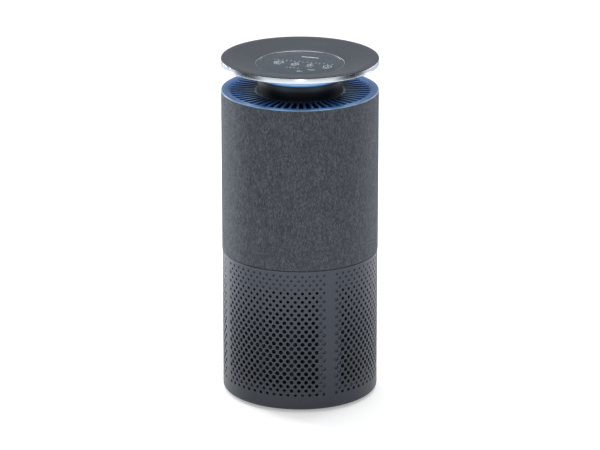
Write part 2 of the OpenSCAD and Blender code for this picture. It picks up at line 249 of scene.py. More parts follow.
def woven(name, colour, pitch, vary=0.25, depth=0.6):
    """Plain-woven cloth with threads pitch metres apart."""
    s = Shading(name)
    k = 2 * math.pi / pitch
    split = s.axes()
    across = s.math("SINE", s.math("MULTIPLY", s.math("ADD", split[0], split[1]), k))
    along = s.math("SINE", s.math("MULTIPLY", split[2], k))
    weave = s.math("MULTIPLY", across, along)
    tone = s.noise(300.0, 3.0)
    s.colour(s.ramp(tone, [(0.3, scaled(colour, 1 - vary)), (0.7, scaled(colour, 1 + vary))]))
    s.bump(weave, depth, pitch * 0.25)
    s.set(Roughness=0.9)
    return s.mat


# ---- materials of the outside ----

def heather_fabric():
    """Two-tone woven cover: vertical slubs, mottled dye, fine plain weave, a soft sheen at grazing angles."""
    s = Shading("heather_fabric")
    split = s.axes()
    back = s.math("MULTIPLY", split[1], -1.0)
    angle = s.math("ARCTAN2", split[0], back)
    warp_count = 640.0
    pitch = 2 * math.pi * BODY_R / warp_count
    warp = s.math("SINE", s.math("MULTIPLY", angle, warp_count))
    weft = s.math("SINE", s.math("MULTIPLY", split[2], 2 * math.pi / pitch))
    weave = s.math("MULTIPLY", warp, weft)
    slub = s.noise(620.0, 3.0, 0.7, s.stretched(1.0, 1.0, 0.4))
    yarn = s.noise(1000.0, 2.0, 0.6, s.stretched(1.0, 1.0, 0.3))
    blotch = s.noise(170.0, 4.0, 0.7, s.stretched(1.0, 1.0, 0.55))
    dye = s.noise(95.0, 2.0, 0.5, s.stretched(1.0, 1.0, 0.5))
    fleck = s.math("ADD", s.math("MULTIPLY", slub, 0.68), s.math("MULTIPLY", blotch, 0.32))
    dark, mid, light = srgb(74, 79, 86), srgb(95, 99, 106), srgb(126, 130, 137)
    tone = s.ramp(fleck, [(0.38, dark), (0.5, mid), (0.63, light)])
    warm = s.ramp(dye, [(0.35, srgb(176, 181, 190)), (0.65, srgb(200, 203, 209))])
    tone = s.mix(0.55, tone, s.mix(1.0, tone, warm, "MULTIPLY"))
    thread = s.ramp(yarn, [(0.3, (0.6, 0.6, 0.62, 1)), (0.7, (1.0, 1.0, 1.0, 1))])
    tone = s.mix(0.6, tone, s.mix(1.0, tone, thread, "MULTIPLY"))
    s.colour(tone)
    height = s.math("ADD", weave, s.math("MULTIPLY", slub, 1.6))
    s.bump(height, 0.55, 0.0003)
    s.set(Roughness=0.92, Sheen_Weight=0.25, Sheen_Roughness=0.4, Specular_IOR_Level=0.15)
    s.set(Sheen_Tint=srgb(205, 212, 225))
    return s.mat


def shell_plastic():
    """Satin plastic of the perforated shell, with painted shade: darker towards the bottom, lighter towards
    the seam.
    """
    s = Shading("shell_plastic")
    base = srgb(58, 63, 73)
    split = s.axes()
    # painted shade: the colour runs from dark at the bottom of the shell to light at its top
    height = s.math("MULTIPLY", split[2], 1 / SHELL_HIGH[2])
    tone = s.math("ADD", s.math("MULTIPLY", height, 0.8), s.math("MULTIPLY", s.noise(9.0, 3.0), 0.2))
    s.colour(s.ramp(tone, [(0.1, scaled(base, 0.68)), (0.9, scaled(base, 1.5))]))
    s.rough(s.noise(70.0, 3.0), 0.40, 0.52)
    s.bump(s.noise(1500.0, 2.0), 0.06, 0.0002)
    s.set(Specular_IOR_Level=0.32)
    return s.mat


def saucer_plastic():
    """Slate plastic of the dished top."""
    s = Shading("saucer_plastic")
    base = srgb(50, 57, 68)
    s.colour(s.ramp(s.noise(12.0, 3.0), [(0.3, scaled(base, 0.94)), (0.7, scaled(base, 1.06))]))
    s.rough(s.noise(90.0, 3.0), 0.34, 0.46)
    s.bump(s.noise(1800.0, 2.0), 0.05, 0.0002)
    s.set(Specular_IOR_Level=0.33)
    return s.mat


def panel_glass():
    """Smooth blue-grey face of the touch panel."""
    s = Shading("panel_glass")
    base = srgb(46, 60, 73)
    s.colour(s.ramp(s.noise(20.0, 3.0), [(0.3, scaled(base, 0.96)), (0.7, scaled(base, 1.05))]))
    s.rough(s.noise(130.0, 3.0), 0.3, 0.4)
    s.set(Specular_IOR_Level=0.38)
    return s.mat


def polished_edge():
    """Polished metal band round the saucer."""
    s = Shading("polished_edge")
    grain = s.noise(30.0, 3.0, vector=s.stretched(1.0, 1.0, 40.0))
    s.colour(s.ramp(grain, [(0.2, srgb(214, 221, 229)), (0.8, srgb(228, 234, 241))]))
    s.rough(grain, 0.16, 0.26)
    s.set(Metallic=1.0, Specular_Tint=(0.8, 0.83, 0.87, 1.0))
    return s.mat


def light_guide():
    """Lit from its upper end, so that the glow fades downwards."""
    s = Shading("light_guide")
    split = s.axes()
    lit_height = 6.0 * MM
    fade = s.uneven(s.span(split[2], LED_LOW[2], LED_LOW[2] + lit_height), 60.0, 2.0, 0.12)
    glow = s.ramp(fade, [(0.0, srgb(30, 62, 104)), (0.35, srgb(96, 150, 205)), (0.75, srgb(176, 214, 242))])
    s.colour(glow)
    s.link(glow, s.shader.inputs["Emission Color"])
    s.set(Emission_Strength=0.62, Roughness=0.3)
    return s.mat


def grille_plastic():
    """Blue-grey plastic with painted shade, darker towards the neck, where the saucer keeps the light off, and
    a painted highlight along the outer edge of the rim.
    """
    s = Shading("grille_plastic")
    flat = s.stretched(1.0, 1.0, 0.0)
    reach = s.add("ShaderNodeVectorMath", operation="LENGTH")
    s.link(flat, reach.inputs[0])
    shade_darkest_r = 70.0 * MM
    place = s.uneven(s.span(reach.outputs["Value"], shade_darkest_r, BODY_R), 50.0, 3.0, 0.06)
    # painted shade from the neck outwards, and at the last stop a painted highlight on the rim's outer edge
    shade = s.ramp(place,
                   [(0.0, srgb(12, 18, 30)), (0.35, srgb(32, 54, 86)), (0.72, srgb(66, 102, 148)),
                    (0.84, srgb(64, 98, 142)), (0.965, srgb(78, 114, 158)), (1.0, srgb(158, 192, 224))])
    s.colour(shade)
    s.rough(s.noise(80.0, 3.0), 0.3, 0.42)
    s.bump(s.noise(1600.0, 2.0), 0.04, 0.0002)
    return s.mat


def neck_painted_shade():
    """Grey plastic under the light line, with painted shade that falls off into black towards the grille."""
    s = Shading("neck_painted_shade")
    split = s.axes()
    grey_height = 16.0 * MM
    place = s.uneven(s.span(split[2], NECK_HIGH[2] - grey_height, NECK_HIGH[2]), 70.0, 3.0, 0.08)
    # painted shade: grey just under the light line, black lower down
    shade = s.ramp(place, [(0.0, srgb(5, 6, 9)), (0.35, srgb(24, 24, 27)),
                           (0.75, srgb(74, 72, 72)), (1.0, srgb(62, 68, 80))])
    s.colour(shade)
    s.rough(s.noise(90.0, 3.0), 0.5, 0.6)
    s.set(Specular_IOR_Level=0.15)
    return s.mat


def frame_plastic():
    """Inner frame: black near the floor, grey above it, behind the holes."""
    s = Shading("frame_plastic")
    split = s.axes()
    low, high = 20.0 * MM, 200.0 * MM
    place = s.uneven(s.span(split[2], low, high), 40.0, 3.0, 0.1)
    shade = s.ramp(place,
                   [(0.02, srgb(6, 6, 8)), (0.06, srgb(78, 82, 90)), (0.9, srgb(82, 87, 94))])
    s.colour(shade)
    s.rough(s.noise(90.0, 3.0), 0.6, 0.75)
    s.set(Specular_IOR_Level=0.1)
    return s.mat


def printed_white():
    """Printed signs on the touch panel."""
    s = Shading("printed_white")
    s.colour(s.ramp(s.noise(400.0, 2.0), [(0.3, srgb(196, 202, 208)), (0.7, srgb(222, 228, 233))]))
    s.rough(s.noise(200.0), 0.5, 0.6)
    return s.mat


def filter_paper():
    """Grey fibrous medium of the filter."""
    s = Shading("filter_paper")
    base = srgb(60, 63, 68)
    s.colour(s.ramp(s.noise(260.0, 4.0), [(0.3, scaled(base, 0.8)), (0.7, scaled(base, 1.25))]))
    s.bump(s.noise(1200.0, 3.0), 0.3, 0.0003)
    s.set(Roughness=0.95)
    return s.mat


def circuit_board():
    """Green solder mask with faint tracks."""
    s = Shading("circuit_board")
    tracks = s.noise(160.0, 1.0, vector=s.stretched(1.0, 0.2, 0.2))
    s.colour(s.ramp(tracks, [(0.48, srgb(22, 74, 48)), (0.52, srgb(36, 104, 66))]))
    s.bump(tracks, 0.1, 0.0002)
    s.set(Roughness=0.4)
    return s.mat


def windings():
    """Turns of enamelled copper wire."""
    s = Shading("windings")
    turns = s.noise(60.0, 2.0, vector=s.stretched(1.0, 1.0, 30.0))
    s.colour(s.ramp(turns, [(0.35, srgb(120, 58, 26)), (0.65, srgb(206, 122, 62))]))
    s.bump(turns, 0.5, 0.0004)
    s.set(Metallic=0.8, Roughness=0.35)
    return s.mat


MATERIALS = {
    "dark_plastic": moulded("dark_plastic", srgb(28, 29, 32), specular=0.3),
    "rubber": moulded("rubber", srgb(26, 26, 27), 0.75, 0.9, 700.0, 0.2, 0.15, 0.3),
    "white_plastic": moulded("white_plastic", srgb(214, 214, 208), 0.45, 0.6),
    "foam": moulded("foam", srgb(30, 30, 32), 0.9, 1.0, 500.0, 0.8, 0.3, 0.1),
    "filter_paper": filter_paper(),
    "carbon": woven("carbon", srgb(26, 26, 28), 0.0012),
    "filter_net": moulded("filter_net", srgb(36, 37, 40), 0.6, 0.8, 800.0, 0.2, 0.2, 0.3),
    "ribbon": woven("ribbon", srgb(52, 110, 176), 0.0009),
    "shell_plastic": shell_plastic(),
    "black_plastic": moulded("black_plastic", srgb(16, 17, 19), 0.3, 0.42),
    "switch_red": moulded("switch_red", srgb(150, 40, 36)),
    "steel": turned_metal("steel", srgb(200, 202, 206)),
    "impeller_grey": moulded("impeller_grey", srgb(196, 199, 203), 0.35, 0.5),
    "magnet": turned_metal("magnet", srgb(96, 96, 100), 0.4, 0.55),
    "copper": windings(),
    "motor_metal": turned_metal("motor_metal", srgb(186, 188, 192), 0.3, 0.45),
    "fabric": heather_fabric(),
    "circuit_board": circuit_board(),
    "sensor_blue": moulded("sensor_blue", srgb(54, 66, 100)),
    "grille_plastic": grille_plastic(),
    "light_guide": light_guide(),
    "chrome_edge": polished_edge(),
    "saucer_plastic": saucer_plastic(),
    "panel_plastic": panel_glass(),
}


def dress(obj, material):
    """Gives an object one material in place of what it had."""
    obj.data.materials.clear()
    obj.data.materials.append(material)


# every CAD node takes the material of its slot in the record, two of them one of their own; the neck's carries
# painted shade
for entry in frame["record"]["subparts"]:
    dress(frame["nodes"][entry["node"]], MATERIALS[entry["material_slot"]])
dress(frame["nodes"]["intake_frame"], frame_plastic())
neck_shade_look = neck_painted_shade()
dress(frame["nodes"]["neck"], neck_shade_look)


# ---- mesh builders ----

def piece(name, verts, faces, slot, body, smooth_angle=32.0, normals=None):
    """A mesh object that rides on a body and takes a slot's material."""
    mesh = bpy.data.meshes.new(name)
    mesh.from_pydata(verts, [], faces)
    mesh.validate()
    mesh.shade_smooth()
    if normals is not None:
        mesh.normals_split_custom_set_from_vertices(normals)
    elif smooth_angle:
        mesh.set_sharp_from_angle(angle=math.radians(smooth_angle))
    mesh.materials.append(MATERIALS[slot])
    obj = bpy.data.objects.new(name, mesh)
    bpy.context.scene.collection.objects.link(obj)
    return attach(obj, body)


def arc(cx, cz, r, start, end, steps=6):
    """Points of (radius, z) on an arc, angles in degrees."""
    out = []
    for i in range(steps + 1):
        a = math.radians(start + (end - start) * i / steps)
        out.append((cx + r * math.cos(a), cz + r * math.sin(a)))
    return out


def lathe(name, profile, slot, body, segments=256, closed=True, smooth_angle=32.0):
    """Turns a list of (radius, z) round the axis; a closed one is a ring."""
    verts, faces = [], []
    n = len(profile)
    for i in range(segments):
        a = 2 * math.pi * i / segments
        verts += [(r * math.cos(a), r * math.sin(a), z) for r, z in profile]
    last = n if closed else n - 1
    for i in range(segments):
        j = (i + 1) % segments
        for k in range(last):
            m = (k + 1) % n
            faces.append((i * n + k, j * n + k, j * n + m, i * n + m))
    return piece(name, verts, faces, slot, body, smooth_angle)


# ---- perforated shell ----

def hole_radius(row):
    """Holes are full size in the middle rows and shrink towards the top and the bottom row."""
    share_near_top = 0.58 + 0.029 * (ROWS - 1 - row)
    share_near_bottom = 0.76 + 0.06 * row
    return HOLE_D / 2 * min(1.0, share_near_top, share_near_bottom)


def perforated_shell():
    """The intake shell with every hole: each sits in a diamond two columns wide and two rows high."""
    ring_n, rim, rim_depth = 16, 0.16 * MM, 0.22 * MM
    verts, normals, faces, known = [], [], [], {}

    def add(r, angle, z, normal):
        verts.append((r * math.cos(angle), r * math.sin(angle), z))
        normals.append(normal)
        return len(verts) - 1

    def radial(angle, up=0.0):
        v = Vector((math.cos(angle), math.sin(angle), up)).normalized()
        return (v.x, v.y, v.z)

    def grid(angle, level):
        """Vertex on the outside at a column edge or middle and a row line."""
        key = (round(angle, 6), level)
        if key not in known:
            known[key] = add(SHELL_R, angle, ROW_FIRST + level * ROW_PITCH, radial(angle))
        return known[key]

    def cell(mid, row):
        """One diamond of wall with its hole; neighbouring diamonds share their sides."""
        corners = [grid(mid + COL_ANGLE, row), grid(mid, row + 1),
                   grid(mid - COL_ANGLE, row), grid(mid, row - 1)]
        z, r = ROW_FIRST + row * ROW_PITCH, hole_radius(row)
        outer, lip, inner = [], [], []
        for k in range(ring_n):
            a = 2 * math.pi * k / ring_n
            c, s = math.cos(a), math.sin(a)
            turn = mid + (r + rim) * c / SHELL_R
            outer.append(add(SHELL_R, turn, z + (r + rim) * s, radial(turn)))
            turn = mid + r * c / SHELL_R
            inward = Vector((math.sin(mid) * c, -math.cos(mid) * c, -s))
            tilt = (inward * 0.85 + Vector(radial(mid)) * 0.5).normalized()
            lip.append(add(SHELL_R - rim_depth, turn, z + r * s, tuple(tilt)))
            inner.append(add(SHELL_R - SHELL_WALL, turn, z + r * s, tuple(inward)))
        for q in range(4):
            a, b = corners[q], corners[(q + 1) % 4]
            o = [outer[(4 * q + i) % ring_n] for i in range(5)]
            faces.extend([(a, o[1], o[0]), (a, o[2], o[1]), (a, b, o[2]), (b, o[3], o[2]), (b, o[4], o[3])])
        for k in range(ring_n):
            m = (k + 1) % ring_n
            faces.append((outer[k], outer[m], lip[m], lip[k]))
            faces.append((lip[k], lip[m], inner[m], inner[k]))

    def border(centre):
        """Triangles that fill the zigzag round one panel of diamonds."""
        def at(col, level):
            return grid(centre + (col - (COLS - 1) / 2) * COL_ANGLE, level)
        for col in range(0, COLS - 2, 2):
            faces.append((at(col, -1), at(col + 1, -1), at(col + 1, 0)))
            faces.append((at(col + 1, -1), at(col + 2, -1), at(col + 1, 0)))
            faces.append((at(col, ROWS), at(col + 1, ROWS - 1), at(col + 1, ROWS)))
            faces.append((at(col + 1, ROWS), at(col + 1, ROWS - 1), at(col + 2, ROWS)))
        for side, near in ((-1, 0), (COLS, COLS - 1)):
            for row in range(0, ROWS - 1, 2):
                tri = (at(side, row), at(near, row + 1), at(side, row + 2))
                faces.append(tri if side < 0 else tri[::-1])
            tri = (at(side, -1), at(near, -1), at(side, 0))
            faces.append(tri if side < 0 else tri[::-1])
            tri = (at(side, ROWS - 1), at(near, ROWS), at(side, ROWS))
            faces.append(tri if side < 0 else tri[::-1])

    angles = []
    levels = [-1] + list(range(0, ROWS, 2)) + [ROWS]
    width = (COLS + 1) * COL_ANGLE
    strip = 2 * math.pi / PANELS - width
    for panel in range(PANELS):
        centre = panel * 2 * math.pi / PANELS
        for col in range(COLS):
            for row in range(col % 2, ROWS, 2):
                cell(centre + (col - (COLS - 1) / 2) * COL_ANGLE, row)
        border(centre)
        angles += [centre + (col - (COLS - 1) / 2) * COL_ANGLE for col in range(-1, COLS)]
        end = centre + width / 2
        stops = [end + strip * i / 2 for i in range(3)]
        if panel == PANELS - 1:
            stops[-1] = -width / 2
        angles += stops[:-1]
        for a, b in zip(stops, stops[1:]):
            for low, high in zip(levels, levels[1:]):
                faces.append((grid(a, low), grid(b, low), grid(b, high), grid(a, high)))

    def ring(r, z, normal_up, outward=1.0):
        """Vertices all round at one height, their normals tilted up by normal_up."""
        made = []
        for a in angles:
            normal = Vector((math.cos(a) * outward, math.sin(a) * outward, normal_up)).normalized()
            made.append(add(r, a, z, tuple(normal)))
        return made

    def bridge(lower, upper):
        """Faces between two rings."""
        n = len(lower)
        for i in range(n):
            m = (i + 1) % n
            faces.append((lower[i], lower[m], upper[m], upper[i]))

    # below the holes: wall, rounded edge, lip turned inwards
    upper = [grid(a, -1) for a in angles]
    for r, z in arc(SHELL_R - SHELL_EDGE, FLOOR_GAP + SHELL_EDGE, SHELL_EDGE, 0, -90, 10):
        up = (z - FLOOR_GAP - SHELL_EDGE) / SHELL_EDGE
        out = math.sqrt(max(0.0, 1 - up * up))
        lower = ring(r, z, up / max(out, 1e-3))
        bridge(lower, upper)
        upper = lower
    lower = ring(SHELL_R - SHELL_EDGE, FLOOR_GAP + SHELL_WALL, 0.0, -1.0)
    bridge(lower, upper)
    # above the holes: wall, small rounding, top face
    lower = [grid(a, ROWS) for a in angles]
    round_r = 0.5 * MM
    top = SHELL_HIGH[2]
    for r, z in arc(SHELL_R - round_r, top - round_r, round_r, 0, 90, 4):
        up = (z - top + round_r) / round_r
        out = math.sqrt(max(0.0, 1 - up * up))
        higher = ring(r, z, up / max(out, 1e-3))
        bridge(lower, higher)
        lower = higher
    higher = ring(SHELL_R - SHELL_WALL, top, 1e3)
    bridge(lower, higher)
    shell = piece("shell_perforated", verts, faces, "shell_plastic", "housing", normals=normals)
    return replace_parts(shell, "intake_shell")


perforated_shell()


# ---- fabric sleeve ----

def fabric_wrap():
    """The woven cover, turned over a soft hem at both ends."""
    low, high, hem = SLEEVE_LOW[2] + 0.05 * MM, SLEEVE_HIGH[2] - 0.1 * MM, 0.6 * MM
    r_in = BODY_R - 1.3 * MM
    outside = arc(BODY_R - hem, low + hem, hem, -90, 0, 6)
    steps = 40
    for i in range(1, steps):
        outside.append((BODY_R, low + hem + (high - low - 2 * hem) * i / steps))
    outside += arc(BODY_R - hem, high - hem, hem, 0, 90, 6)
    profile = [(r_in, low)] + outside + [(r_in, high)]
    wrap = lathe("fabric_wrap", profile, "fabric", "housing", 320, True, 50.0)
    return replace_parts(wrap, "fabric_sleeve")


fabric_wrap()


# ---- saucer ----

def saucer():
    """Dished top plate with a soft outer lip, chrome edge and touch panel in its recess."""
    out_r, top = DISC_R - 0.35 * MM, TOP_Z - 0.1 * MM
    dish = PANEL_HIGH[2] + 1.0 * MM
    knee = DISC_R - 9.0 * MM
    skin, lip, under = 2.0 * MM, 0.45 * MM, TOP_Z - 1.15 * MM
    profile = [(DISC_R - 2.5 * MM, under)]
    profile += arc(out_r - 0.2 * MM, under + 0.2 * MM, 0.2 * MM, -90, 0, 2)
    profile += arc(out_r - lip, top - lip, lip, 0, 90, 5)
    for i in range(5):
        t = i / 4
        profile.append((knee + 2.2 * MM - 4.4 * MM * t, top - 0.45 * MM * t * t))
    slope_end = PANEL_R + 1.6 * MM
    for i in range(1, 9):
        t = i / 8
        profile.append((knee - 2.2 * MM + (slope_end - knee + 2.2 * MM) * t,
                        top - 0.45 * MM + (dish + 0.3 * MM - top + 0.45 * MM) * t))
    profile += [(PANEL_R + 1.1 * MM, dish), (PANEL_R + 1.1 * MM, dish - 2.1 * MM),
                (58 * MM, dish - 2.1 * MM), (58 * MM, dish - 4.1 * MM), (PANEL_R + 2.4 * MM, dish - 4.1 * MM),
                (PANEL_R + 3.4 * MM, dish - skin), (knee, top - 0.6 * MM - skin),
                (DISC_R - 2.5 * MM, top - skin)]
    plate = lathe("saucer_top", profile, "saucer_plastic", "housing", 256, True, 28.0)
    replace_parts(plate, "top_plate")

    # thin black seal, with the polished band above it
    low, high, bevel, in_r = EDGE_LOW[2], TOP_Z - 1.2 * MM, 0.5 * MM, DISC_R - 2.4 * MM
    seal_h = 0.55 * MM
    seal = [(in_r, low), (DISC_R - 0.5 * MM, low), (DISC_R - 0.25 * MM, low + 0.2 * MM),
            (DISC_R - 0.25 * MM, low + seal_h), (in_r, low + seal_h)]
    lathe("saucer_seal", seal, "black_plastic", "housing", 256, True, 30.0)
    low += seal_h
    edge = [(in_r, low)] + arc(DISC_R - bevel, low + bevel, bevel, -90, 0, 4)
    edge += arc(DISC_R - 0.25 * MM, high - 0.25 * MM, 0.25 * MM, 0, 90, 3) + [(in_r, high)]
    band = lathe("saucer_edge", edge, "chrome_edge", "housing", 320, True, 40.0)
    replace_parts(band, "trim_ring")

    # polished bezel that slopes down to the panel
    bezel = [(PANEL_R + 1.1 * MM, dish - 0.02 * MM), (PANEL_R + 0.75 * MM, dish - 0.02 * MM),
             (PANEL_R + 0.3 * MM, dish - 0.45 * MM), (PANEL_R + 0.2 * MM, dish - 1.9 * MM),
             (PANEL_R + 1.1 * MM, dish - 1.9 * MM)]
    lathe("panel_bezel", bezel, "motor_metal", "housing", 192, True, 20.0)

    low, high, bevel = PANEL_LOW[2], PANEL_HIGH[2], 0.25 * MM
    centre_r = 0.5 * MM
    face = [(centre_r, low), (PANEL_R, low)]
    face += arc(PANEL_R - bevel, high - bevel, bevel, 0, 90, 3) + [(centre_r, high)]
    panel = lathe("touch_panel", face, "panel_plastic", "housing", 192, True, 28.0)
    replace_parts(panel, "control_panel")


saucer()


def touch_icons():
    """Generic printed signs on the panel: rings, fan, drop, moon, dots and dashes."""
    z = PANEL_HIGH[2] + 0.05 * MM
    turn = math.radians(3)
    turn_c, turn_s = math.cos(turn), math.sin(turn)
    verts, faces = [], []

    def strip(points, width, closed=False):
        """A line of even width through points, in millimetres on the panel."""
        pts = [Vector((x, y)) for x, y in points]
        n = len(pts)
        base = len(verts)
        for i, p in enumerate(pts):
            before = pts[(i - 1) % n] if closed or i else p
            after = pts[(i + 1) % n] if closed or i < n - 1 else p
            way = (after - before).normalized()
            side = Vector((-way.y, way.x)) * width / 2
            for q in (p + side, p - side):
                verts.append(((q.x * turn_c - q.y * turn_s) * MM, (q.x * turn_s + q.y * turn_c) * MM, z))
        for i in range(n if closed else n - 1):
            m = (i + 1) % n
            faces.append((base + 2 * i, base + 2 * i + 1, base + 2 * m + 1, base + 2 * m))

    def circle(cx, cy, r, width, start=0.0, end=360.0):
        steps = 28
        whole = abs(end - start) >= 360
        count = steps if whole else steps + 1
        pts = [(cx + r * math.cos(math.radians(start + (end - start) * i / steps)),
                cy + r * math.sin(math.radians(start + (end - start) * i / steps))) for i in range(count)]
        strip(pts, width, whole)

    def dot(cx, cy, r):
        circle(cx, cy, r / 2, r)

    row_y, dot_y = -4.0, 10.0
    # round sign with a leaf-like loop inside
    circle(-32.4, row_y - 1, 7.0, 0.9)
    circle(-33.6, row_y - 2, 3.0, 0.8, 20, 300)
    strip([(-35.5, row_y - 4), (-32.0, row_y - 0.5), (-29.0, row_y + 1.5)], 0.8)
    # fan
    for k in range(3):
        a = math.radians(90 + 120 * k)
        circle(-5.4 + 3.3 * math.cos(a), row_y + 3.3 * math.sin(a), 2.5, 0.8, math.degrees(a) - 150,
               math.degrees(a) + 120)
    dot(-5.4, row_y, 1.1)
    circle(-5.4, row_y, 7.2, 0.8, 200, 340)
    # moon
    circle(18.9, row_y, 5.4, 0.9, 60, 330)
    circle(21.6, row_y + 1.2, 4.4, 0.8, 105, 285)
    # clock with two hands
    circle(45.2, row_y, 6.0, 0.9)
    strip([(45.2, row_y + 4), (45.2, row_y), (48.2, row_y - 1.6)], 0.9)
    for k in range(15):
        dot(-44 + 6.6 * k, dot_y - (k % 2) * 2.4, 1.0)
    for x in (-32.4, -5.4, 18.9, 45.2):
        strip([(x - 5, row_y - 11), (x + 5, row_y - 11)], 1.0)
    for x in (-12, -6, 0, 6):
        strip([(x - 1.6, -27), (x + 1.6, -27)], 1.1)
    strip([(21, -28), (34, -28)], 1.0)
    strip([(24, -31), (31, -31)], 0.8)
    circle(12, -42, 2.2, 0.9)
    strip([(15.6, -43.5), (18, -40.5)], 0.9)
    # plain bar in place of a name
    strip([(-10, 36.5), (17.5, 36.5)], 2.6)
    icons = piece("touch_icons", verts, faces, "panel_plastic", "housing", 0)
    dress(icons, printed_white())
    return icons


touch_icons()


# ---- neck, light line and outlet ----

def neck_light():
    """Translucent ring that glows under the saucer."""
    low, high, soft, in_r = LED_LOW[2], LED_HIGH[2], 0.9 * MM, 61.4 * MM
    profile = [(in_r, low)] + arc(LED_R - soft, low + soft, soft, -90, 0, 5) + [(LED_R, high), (in_r, high)]
    ring = lathe("light_line", profile, "light_guide", "housing", 256, True, 40.0)
    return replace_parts(ring, "led_ring")


neck_light()


def outlet_ring():
    """Grille of radial vanes with rounded slot ends, cast with a flat rim and a raised inner collar."""
    vanes, slot_w, inner = 54, 9.2 * MM, 68.6 * MM
    tip = slot_w / 2
    half = math.pi * inner / vanes - 1.1 * MM
    curve = bpy.data.curves.new("vane_plan", "CURVE")
    curve.dimensions = "2D"
    curve.fill_mode = "BOTH"
    curve.extrude = 1.3 * MM
    curve.bevel_depth = 0.4 * MM
    curve.bevel_resolution = 2

    def loop(points):
        spline = curve.splines.new("POLY")
        spline.points.add(len(points) - 1)
        for mark, (x, y) in zip(spline.points, points):
            mark.co = (x, y, 0.0, 1.0)
        spline.use_cyclic_u = True

    def ring(r, n):
        return [(r * math.cos(2 * math.pi * i / n), r * math.sin(2 * math.pi * i / n)) for i in range(n)]

    outer_r, steps = 111.6 * MM, 216
    loop(ring(outer_r, steps))
    loop(ring(LED_R, steps))
    for k in range(vanes):
        turn = 2 * math.pi * k / vanes
        shape = [(inner, half), (inner, -half)]
        shape += arc(SLOT_R - tip, 0.0, tip, -90, 90, 10)
        c, s = math.cos(turn), math.sin(turn)
        loop([(x * c - y * s, x * s + y * c) for x, y in shape])
    maker = bpy.data.objects.new("vane_plan", curve)
    bpy.context.scene.collection.objects.link(maker)
    maker.location = (0.0, 0.0, RIM_Z - 3.6 * MM)
    bpy.context.view_layer.update()
    mesh = bpy.data.meshes.new_from_object(maker.evaluated_get(bpy.context.evaluated_depsgraph_get()))
    mesh.transform(maker.matrix_world)
    bpy.data.objects.remove(maker)
    mesh.materials.clear()
    mesh.materials.append(MATERIALS["grille_plastic"])
    mesh.shade_smooth()
    mesh.set_sharp_from_angle(angle=math.radians(50))
    mesh.name = "outlet_vanes"
    vanes_obj = bpy.data.objects.new("outlet_vanes", mesh)
    bpy.context.scene.collection.objects.link(vanes_obj)
    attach(vanes_obj, "housing")
    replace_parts(vanes_obj, "outlet_grille")

    soft = 1.1 * MM
    skirt_r = 114.4 * MM
    rim = [(SLOT_R + 1.2 * MM, RIM_Z - 12.5 * MM), (skirt_r, RIM_Z - 12.5 * MM), (skirt_r, RIM_Z - 4 * MM),
           (BODY_R - 1.6 * MM, RIM_Z - 4 * MM), (BODY_R - 1.6 * MM, RIM_Z - 1.3 * MM),
           (BODY_R - 0.4 * MM, RIM_Z - 1.3 * MM)]
    rim += arc(BODY_R - soft, RIM_Z - soft, soft, 0, 90, 6)
    rim += [(SLOT_R + 2.0 * MM, RIM_Z), (SLOT_R + 1.2 * MM, RIM_Z - 0.3 * MM),
            (SLOT_R + 0.9 * MM, RIM_Z - 1.2 * MM)]
    rim_obj = lathe("outlet_rim", rim, "grille_plastic", "housing", 256, True, 35.0)
    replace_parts(rim_obj, "outlet_grille")
    collar_top = RIM_Z + 0.1 * MM
    collar_r, collar_in, bevel = 65.9 * MM, CORE_R + 0.3 * MM, 0.3 * MM
    collar = [(collar_in, RIM_Z - 8 * MM), (collar_r, RIM_Z - 8 * MM)]
    collar += arc(collar_r - bevel, collar_top - bevel, bevel, 0, 90, 4) + [(collar_in, collar_top)]
    collar_obj = lathe("outlet_collar", collar, "grille_plastic", "housing", 192, True, 35.0)
    # the collar takes the neck's painted shade, which is dark at the collar's height
    dress(collar_obj, neck_shade_look)
    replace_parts(collar_obj, "outlet_grille")


outlet_ring()


# ---- filter net ----

def filter_net():
    """Fine dark net round the filter, over the cage's windows."""
    across, rows, wire = 168, 54, 0.45 * MM
    r = 99.35 * MM
    low, high = FILTER_LOW[2] + 8 * MM, FILTER_HIGH[2] - 8 * MM
    verts, faces = [], []
    for k in range(rows + 1):
        z = low + (high - low) * k / rows
        for i in range(across):
            a = 2 * math.pi * i / across
            verts.append((r * math.cos(a), r * math.sin(a), z))
    for k in range(rows):
        for i in range(across):
            m = (i + 1) % across
            faces.append((k * across + i, k * across + m, (k + 1) * across + m, (k + 1) * across + i))
    net = piece("filter_net", verts, faces, "filter_net", "filter", 0)
    grid = net.modifiers.new("wires", "WIREFRAME")
    grid.thickness = wire
    grid.use_even_offset = False
    return net


filter_net()


# ---- stage, lights and camera ----

def floor():
    """Wide white floor."""
    mesh = bpy.data.meshes.new("floor")
    half = 30.0
    corners = [(-half, -half, 0), (half, -half, 0), (half, half, 0), (-half, half, 0)]
    mesh.from_pydata(corners, [], [(0, 1, 2, 3)])
    s = Shading("floor_white")
    s.colour(s.ramp(s.noise(0.5, 2.0), [(0.2, (0.86, 0.86, 0.86, 1)), (0.8, (0.88, 0.88, 0.88, 1))]))
    s.set(Roughness=0.9, Specular_IOR_Level=0.1, Emission_Color=(1, 1, 1, 1), Emission_Strength=0.35)
    mesh.materials.append(s.mat)
    obj = bpy.data.objects.new("floor", mesh)
    bpy.context.scene.collection.objects.link(obj)


def area_light(name, bearing, distance, height, size, power, aim=0.27, tall=None):
    """Soft box at a bearing in degrees from the camera's side, positive to its right."""
    light = bpy.data.lights.new(name, "AREA")
    light.shape = "RECTANGLE"
    light.size = size
    light.size_y = tall or size
    light.energy = power
    obj = bpy.data.objects.new(name, light)
    a = AZIMUTH + math.radians(bearing)
    obj.location = (math.sin(a) * distance, -math.cos(a) * distance, height)
    way = Vector((0, 0, aim)) - obj.location
    obj.rotation_euler = way.to_track_quat("-Z", "Y").to_euler()
    bpy.context.scene.collection.objects.link(obj)
    return obj


